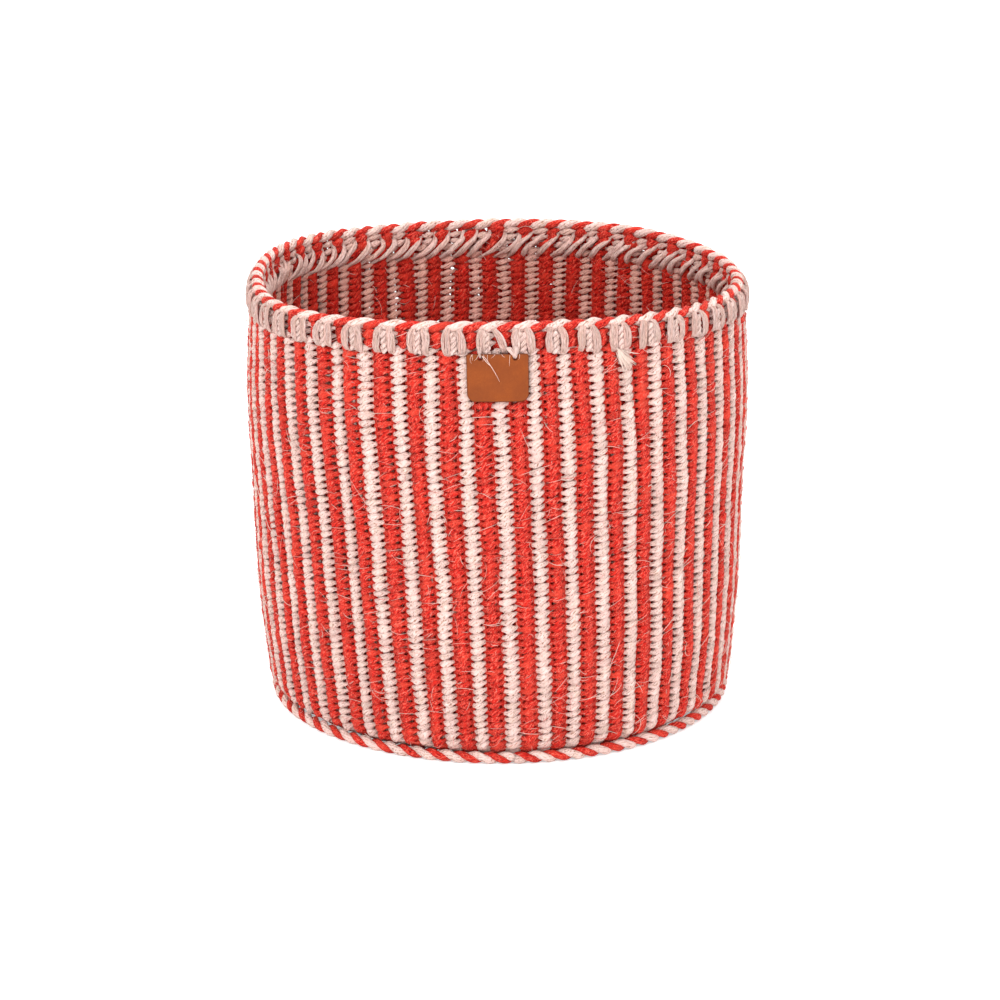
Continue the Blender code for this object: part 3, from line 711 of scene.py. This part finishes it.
def makeTag():
    # Grid: round the hole and outwards to the outline, each half mirrored.
    # Height = half thickness * (1 +- g), g = sqrt(1 - (1 - d / round)^2) near an edge and 1 inside
    edgeX, edgeY = halfOutline(120)
    share = np.concatenate([[0, 0.02, 0.05, 0.09, 0.14], np.linspace(0.2, 0.8, 10), [0.86, 0.91, 0.95, 0.98, 1]])
    towards = np.arctan2(edgeY - tag["holeDrop"], edgeX - tag["holeAcross"])
    startX = tag["holeAcross"] + tag["holeRadius"] * np.cos(towards)
    startY = tag["holeDrop"] + tag["holeRadius"] * np.sin(towards)
    x = startX[:, None] * (1 - share) + edgeX[:, None] * share
    y = startY[:, None] * (1 - share) + edgeY[:, None] * share
    away = edgeDistance(x, y)
    crown = np.sqrt(np.clip(1 - (1 - np.minimum(away / tag["edgeRound"], 1)) ** 2, 0, 1))
    sheets, distances, faces = [], [], []
    around, across = x.shape
    for mirror in (1, -1):
        for face in (1, -1):
            lift = tag["thickness"] / 2 * (1 + face * crown)
            # The plate is a little wavy, as thick leather is
            wave = 0.12 * mm * np.sin(210 * x * mirror + 1) + 0.10 * mm * np.sin(260 * y + 2)
            base = sum(len(s) for s in sheets)
            sheets.append(tagPoint(mirror * x, y, lift + wave).reshape(-1, 3))
            distances.append(away.ravel())
            index = base + np.arange(around * across).reshape(around, across)
            beside = np.roll(index, -1, axis=0)
            quads = np.stack([index[:, :-1], index[:, 1:], beside[:, 1:], beside[:, :-1]], axis=-1).reshape(-1, 4)
            faces.append(quads if mirror * face > 0 else quads[:, ::-1])
    mesh = bpy.data.meshes.new("tag_plate")
    mesh.from_pydata(np.concatenate(sheets).tolist(), [], np.concatenate(faces).tolist())
    mesh.attributes.new("edge", "FLOAT", "POINT").data.foreach_set("value", np.concatenate(distances) / mm)
    joined = bmesh.new()
    joined.from_mesh(mesh)
    bmesh.ops.remove_doubles(joined, verts=joined.verts, dist=0.00001)
    bmesh.ops.recalc_face_normals(joined, faces=joined.faces)
    joined.to_mesh(mesh)
    joined.free()
    mesh.shade_smooth()
    mesh.materials.append(leather())
    plate = bpy.data.objects.new("tag_plate", mesh)
    bpy.context.scene.collection.objects.link(plate)
    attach(plate, "tag")
    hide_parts("leather_tag")


def leather():
    # Colour: fine grain over broad clouds, darker along the cut edge. Bump: small cells, pores and creases
    material, wire = newMaterial("vegetableTannedLeather")
    place = wire.node("ShaderNodeTexCoord", output="Object")
    edge = wire.node("ShaderNodeAttribute", {"attribute_name": "edge"}, output="Fac")
    clouds = wire.node("ShaderNodeTexNoise", links={"Vector": place, "Scale": 130.0, "Detail": 4.0, "Roughness": 0.6})
    grain = wire.node("ShaderNodeTexNoise", links={"Vector": place, "Scale": 1500.0, "Detail": 4.0, "Roughness": 0.7})
    cells = wire.node("ShaderNodeTexVoronoi", {"feature": "DISTANCE_TO_EDGE"}, {"Vector": place, "Scale": 1700.0})
    scuffs = wire.node("ShaderNodeTexNoise", links={"Vector": place, "Scale": 420.0, "Detail": 6.0, "Distortion": 2.5})
    colour = wire.blended(wire.clipped(clouds, 3.0, -1.0), tag["leatherDark"], tag["leather"])
    colour = wire.blended(wire.clipped(scuffs, 4.0, -2.2) * 0.6, colour, tag["leatherLight"])
    colour = wire.blended(wire.clipped(grain, 7.0, -3.2) * 0.5, colour, tag["leatherDark"])
    nearEdge = wire.clipped(edge, -1.6, 0.95)
    colour = wire.blended(nearEdge * 0.85, colour, tag["burnish"])
    relief = wire.clipped(cells, 6.0, 0.0) * 0.6 + grain * 0.5 + clouds * 0.8
    bump = wire.node("ShaderNodeBump", links={"Height": relief, "Distance": 0.05 * mm, "Strength": 0.8})
    shader = wire.node(
        "ShaderNodeBsdfPrincipled",
        links={"Base Color": colour, "Roughness": grain * 0.25 + 0.42, "Normal": bump, "Specular IOR Level": 0.22},
    )
    wire.node("ShaderNodeOutputMaterial", links={"Surface": shader})
    return material


makeTag()
print("tag made")

# Stitches that hold the tag: where each starts on the band (mm right of the tag's middle, mm above the
# axis, mm out), where it goes in, and its half thickness (mm)
tagStitches = {
    "threads": (
        (4.6, 1.6, 5.0, 7.4, 2.6, 0.56),
        (5.4, 1.8, 5.3, 7.7, 2.8, 0.58),
        (6.2, 1.4, 5.0, 7.9, 2.6, 0.50),
        (7.6, 2.0, 5.2, 7.7, 2.7, 0.52),
        (8.5, 2.2, 5.1, 7.9, 2.9, 0.56),
        (9.2, 1.6, 5.0, 8.1, 2.6, 0.48),
        (-8.6, 2.0, 4.9, -7.9, 2.6, 0.34),
        (-7.6, 2.2, 5.0, -7.8, 2.7, 0.38),
    ),
}


def makeTagStitches():
    # From the band's foot, out over the tag's top edge, down its face and into the hole
    threads = np.array(tagStitches["threads"])
    startX, startUp, startOut, endX, endDown, thick = (threads.T * mm)[:, :, None]
    share = np.linspace(0, 1, 15)[None]
    across = startX + (endX - startX) * smoothStep(share, 0.0, 0.9)
    drop = -startUp + (endDown + startUp) * share
    # Out from the tag's inner face: at the band, over the top edge, on the face, through the hole
    stand = np.interp(share, [0, 0.25, 0.45, 0.82, 0.92, 1], [0, 0.4, 1, 1, 0.55, -0.1])
    out = (startOut - tag["topOffset"]) * (1 - smoothStep(share, 0, 0.3)) + stand * (tag["thickness"] + 0.55 * mm)
    path = tagPoint(across, drop, out)
    outward = tagPoint(across, drop, out + 1 * mm) - path
    size = thick * (1 + 0.1 * np.sin(9 * share))
    rings = tubeRings(path, outward, size, size * 1.15, 6)
    tone = np.broadcast_to(dice.uniform(0.1, 0.9, (len(threads), 1)), across.shape)
    piece = tubeMesh("tag_stitches", rings, lengthAlong(path), tone, natural, body=None)
    pivot = tagPoint(0.0, 0.0, tag["thickness"] / 2)
    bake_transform(piece)
    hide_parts("tag_loop_left", "tag_loop_right")


makeTagStitches()

# Loose fibres: how many, how long, how far they stand off, and their colours
strays = {
    "count": 2900,
    "length": (4 * mm, 20 * mm),
    "radius": (0.06 * mm, 0.15 * mm),
    "standOff": 1.3 * mm,
    "insideShare": 0.3,
    "lyingShare": 0.7,
    "ramp": (
        (0.0, (0.86, 0.74, 0.66, 1)),
        (0.55, (0.86, 0.62, 0.56, 1)),
        (0.75, (0.80, 0.26, 0.20, 1)),
        (0.9, (0.68, 0.04, 0.026, 1)),
    ),
}


def strayFibre():
    material, wire = newMaterial("strayFibre")
    tone = wire.node("ShaderNodeAttribute", {"attribute_name": "tone"}, output="Fac")
    spot = wire.node("ShaderNodeUVMap", {"uv_map": "lay"})
    u = wire.node("ShaderNodeSeparateXYZ", links={"Vector": spot})
    patch = wire.node("ShaderNodeTexNoise", {"noise_dimensions": "1D"}, {"W": u * 0.8 + tone * 90.0, "Scale": 1.0})
    colour = wire.node("ShaderNodeValToRGB", {"stops": strays["ramp"]}, {"Fac": tone})
    colour = wire.blended(patch * 0.5, colour, (0.60, 0.40, 0.30, 1), "MULTIPLY")
    shader = wire.node(
        "ShaderNodeBsdfPrincipled", links={"Base Color": colour, "Roughness": patch * 0.3 + 0.4, "Specular IOR Level": 0.4}
    )
    wire.node("ShaderNodeOutputMaterial", links={"Surface": shader})
    return material


def fibreTubes(name, column, along, out, radius, tone, material, body="basket"):
    # Thin three-sided tubes that taper to both ends
    path = weavePoint(columnAngle(column), along, out)
    path[..., 2] = np.maximum(path[..., 2], 0.3 * mm)
    share = np.linspace(0, 1, path.shape[1])[None]
    size = radius * (1 - 0.75 * np.abs(2 * share - 1) ** 3)
    rings = tubeRings(path, outwardAt(columnAngle(column), along, out), size, size, 3)
    return tubeMesh(name, rings, lengthAlong(path), np.broadcast_to(tone, path.shape[:2]), material, body)


def makeStrays(material):
    # A fibre leaves the surface, wanders along it and stands off it by a lift that grows or falls back
    n = strays["count"]
    share = np.linspace(0, 1, 9)[None]
    length = strays["length"][0] + (strays["length"][1] - strays["length"][0]) * dice.uniform(0, 1, (n, 1)) ** 2
    lying = dice.uniform(size=(n, 1)) < strays["lyingShare"]
    heading = dice.normal(0.25, np.where(lying, 0.22, 0.9)) + np.where(dice.uniform(size=(n, 1)) < 0.5, math.pi, 0)
    curl = dice.normal(0, np.where(lying, 0.5, 1.6))
    bearing = heading + curl * share
    stepX = np.cumsum(np.cos(bearing) * length / 8, axis=1)
    stepY = np.cumsum(np.sin(bearing) * length / 8, axis=1)
    column = dice.uniform(0, 100, (n, 1)) + stepX / (122 * mm * columnTurn)
    along = dice.uniform(upWall(8 * mm), upWall(top - 6 * mm), (n, 1)) + stepY
    along = np.minimum(along, upWall(top - 1 * mm))
    free = dice.uniform(size=(n, 1)) < 0.45
    lift = np.abs(dice.normal(0, strays["standOff"], (n, 1)))
    height = np.where(free & ~lying, lift * share**1.5, 0.45 * lift * np.sin(math.pi * share))
    inside = dice.uniform(size=(n, 1)) < strays["insideShare"]
    out = np.where(inside, -1, 1) * (3.35 * mm + height)
    # None under the tag
    behindTag = (np.abs((column + 50) % 100 - 50) < 2.6) & (along > upWall(top - 38 * mm)) & ~inside
    keep = ~behindTag.any(axis=1)
    radius = dice.uniform(*strays["radius"], (n, 1))
    tone = dice.uniform(0, 1, (n, 1)) ** 1.3
    piece = fibreTubes(
        "stray_fibres", column[keep], along[keep], out[keep], radius[keep], tone[keep], material
    )


# Short fuzz that stands off all the strands
fuzz = {"count": 6200, "length": (1.2 * mm, 4.5 * mm), "radius": (0.045 * mm, 0.085 * mm), "insideShare": 0.25}


def makeFuzz(material):
    # Straight fibres with a slight bend, leaning out of the surface by 15 to 75 degrees
    n = fuzz["count"]
    share = np.linspace(0, 1, 4)[None]
    length = dice.uniform(*fuzz["length"], (n, 1))
    lean = np.radians(dice.uniform(15, 75, (n, 1)))
    bearing = dice.uniform(0, 2 * math.pi, (n, 1)) + dice.normal(0, 0.5, (n, 1)) * share
    reach = length * np.cos(lean) * share
    column = dice.uniform(0, 100, (n, 1)) + np.cos(bearing) * reach / (122 * mm * columnTurn)
    along = dice.uniform(upWall(4 * mm), upWall(top - 1.5 * mm), (n, 1)) + np.sin(bearing) * reach
    along = np.minimum(along, upWall(top + 0.5 * mm))
    inside = dice.uniform(size=(n, 1)) < fuzz["insideShare"]
    rise = 2.6 * mm + length * np.sin(lean) * share + 1.4 * mm * smoothStep(along, upWall(top - 15 * mm), upWall(top - 11 * mm))
    behindTag = (np.abs((column + 50) % 100 - 50) < 2.4) & (along > upWall(top - 38 * mm)) & ~inside
    keep = ~behindTag.any(axis=1)
    out = np.where(inside, -1, 1) * rise
    radius = dice.uniform(*fuzz["radius"], (n, 1))
    tone = dice.uniform(0, 1, (n, 1))
    piece = fibreTubes("fuzz", column[keep], along[keep], out[keep], radius[keep], tone[keep], material)


# Fibres over the tag: start (mm right of its middle, mm below its axis), bearing in degrees below
# level, to the right positive, length (mm) and curl (radians)
tagFrays = (
    (-7.0, 0.6, 52, 13.5, 0.25),
    (-7.4, 0.7, 60, 7.0, -0.3),
    (-8.2, 0.6, 110, 3.4, 0.5),
    (-10.4, 0.6, 150, 4.6, -1.6),
    (-11.6, 0.7, 60, 3.0, 0.9),
    (-6.2, 0.6, 85, 3.2, 0.4),
    (-4.4, 0.6, 100, 3.8, -0.5),
    (-1.0, 0.6, 120, 2.4, 0.5),
    (1.6, 0.6, 60, 2.2, -0.5),
    (5.6, 0.6, 100, 5.2, -0.2),
    (9.6, 0.6, 80, 2.6, 0.6),
)


def makeTagFrays(material):
    # Each fibre leaves the tag's top edge and lies on its face, turning by its curl
    startX, startY, bearing, length, curl = np.array(tagFrays).T[:, :, None]
    share = np.linspace(0, 1, 9)[None]
    turned = np.radians(bearing) + curl * share
    across = (startX + np.cumsum(np.cos(turned) * length / 8, axis=1)) * mm
    drop = (startY + np.cumsum(np.sin(turned) * length / 8, axis=1)) * mm
    out = tag["thickness"] + (0.22 + 0.5 * np.sin(math.pi * share)) * mm
    path = tagPoint(across, drop, out)
    outward = tagPoint(across, drop, out + 1 * mm) - path
    size = np.where(length > 6, 0.16, 0.09) * mm * (1 - 0.7 * share**3)
    rings = tubeRings(path, outward, size, size, 4)
    tone = np.broadcast_to(dice.uniform(0.2, 0.6, startX.shape), across.shape)
    piece = tubeMesh("tag_frays", rings, lengthAlong(path), tone, material, body="tag")


# The frayed end under the band, right of the tag: column, drop below the rim, and how it fans
fray = {"column": 7.15, "drop": 13.4 * mm, "count": 30, "length": (8.5 * mm, 11.5 * mm), "radius": (0.20, 0.32)}


def makeFray(material):
    # Fibres from one spot, fanning down and to the right
    n = fray["count"]
    share = np.linspace(0, 1, 8)[None]
    length = dice.uniform(*fray["length"], (n, 1))
    bearing = dice.normal(-1.0, 0.15, (n, 1)) + dice.normal(0.1, 0.22, (n, 1)) * share
    column = fray["column"] + dice.normal(0, 0.09, (n, 1)) + np.cumsum(np.cos(bearing) * length / 7, axis=1) / (
        122 * mm * columnTurn
    )
    along = upWall(top - fray["drop"]) + dice.normal(0, 0.6 * mm, (n, 1)) + np.cumsum(np.sin(bearing) * length / 7, axis=1)
    out = 4.9 * mm + dice.uniform(0.0, 1.3, (n, 1)) * mm * share**1.3
    tone = dice.uniform(0, 0.2, (n, 1))
    radius = dice.uniform(*fray["radius"], (n, 1)) * mm
    piece = fibreTubes("frayed_end", column, along, out, radius, tone, material)


fibreMaterial = strayFibre()
makeStrays(fibreMaterial)
makeFuzz(fibreMaterial)
makeTagFrays(fibreMaterial)
makeFray(fibreMaterial)
print("loose fibres made")

# Floor, light and camera
studio = {
    "floorHalf": 5.0,
    "floorColour": (0.86, 0.86, 0.86, 1),
    "floorGlow": 0.42,
    "ambient": 0.83,
    "lamps": (
        # name, place, size, watts
        ("key", (-1.1, -1.6, 2.0), 1.4, 28.5),
        ("fill", (1.8, -1.5, 1.3), 1.8, 16.0),
        ("low", (-0.2, -2.3, 0.45), 1.6, 21.0),
        ("above", (0.1, 0.5, 2.2), 1.6, 27.0),
    ),
    "aim": (0, 0, 0.1),
    "cameraPlace": (0.0, -1.2429, 0.476),
    "cameraAim": (0.0, 0.0, 0.095),
    "lens": 93.35,
}


def makeFloor():
    half = studio["floorHalf"]
    mesh = bpy.data.meshes.new("studio_floor")
    mesh.from_pydata([(-half, -half, 0), (half, -half, 0), (half, half, 0), (-half, half, 0)], [], [(0, 1, 2, 3)])
    material, wire = newMaterial("palePaper")
    path = wire.node("ShaderNodeLightPath", output="Is Camera Ray")
    glossy, through = path.also("Is Glossy Ray"), path.also("Is Transmission Ray")
    seen = wire.math("MAXIMUM", wire.math("MAXIMUM", path, glossy), through)
    glow = wire.blended(seen, (0, 0, 0, 1), (studio["floorGlow"],) * 3 + (1,))
    shader = wire.node(
        "ShaderNodeBsdfPrincipled",
        links={"Base Color": studio["floorColour"], "Roughness": 0.9, "Specular IOR Level": 0.0,
               "Emission Color": glow, "Emission Strength": 1.0},
    )
    wire.node("ShaderNodeOutputMaterial", links={"Surface": shader})
    mesh.materials.append(material)
    floor = bpy.data.objects.new("studio_floor", mesh)
    bpy.context.scene.collection.objects.link(floor)


def makeLights():
    for name, place, size, watts in studio["lamps"]:
        lamp = bpy.data.lights.new(name, "AREA")
        lamp.shape, lamp.size, lamp.energy = "DISK", size, watts
        thing = bpy.data.objects.new(name, lamp)
        thing.location = place
        thing.rotation_euler = (Vector(studio["aim"]) - Vector(place)).to_track_quat("-Z", "Y").to_euler()
        bpy.context.scene.collection.objects.link(thing)
    world = bpy.data.worlds.new("studio")
    bpy.context.scene.world = world
    world.use_nodes = True
    world.node_tree.nodes.clear()
    wire = Wire(world.node_tree)
    path = wire.node("ShaderNodeLightPath", output="Is Camera Ray")
    glossy, through = path.also("Is Glossy Ray"), path.also("Is Transmission Ray")
    seen = wire.math("MAXIMUM", wire.math("MAXIMUM", path, glossy), through)
    strength = seen * (1 - studio["ambient"]) + studio["ambient"]
    light = wire.node("ShaderNodeBackground", links={"Color": (1, 1, 1, 1), "Strength": strength})
    wire.node("ShaderNodeOutputWorld", links={"Surface": light})


def makeCamera():
    camera = bpy.data.objects.new("camera", bpy.data.cameras.new("camera"))
    bpy.context.scene.collection.objects.link(camera)
    camera.data.lens, camera.data.sensor_width = studio["lens"], 36
    camera.location = studio["cameraPlace"]
    aim = Vector(studio["cameraAim"]) - camera.location
    camera.rotation_euler = aim.to_track_quat("-Z", "Y").to_euler()
    bpy.context.scene.camera = camera
    bpy.context.scene.view_settings.view_transform = "Standard"


makeFloor()
makeLights()
makeCamera()
print("floor, lights and camera made")

bpy.context.view_layer.update()
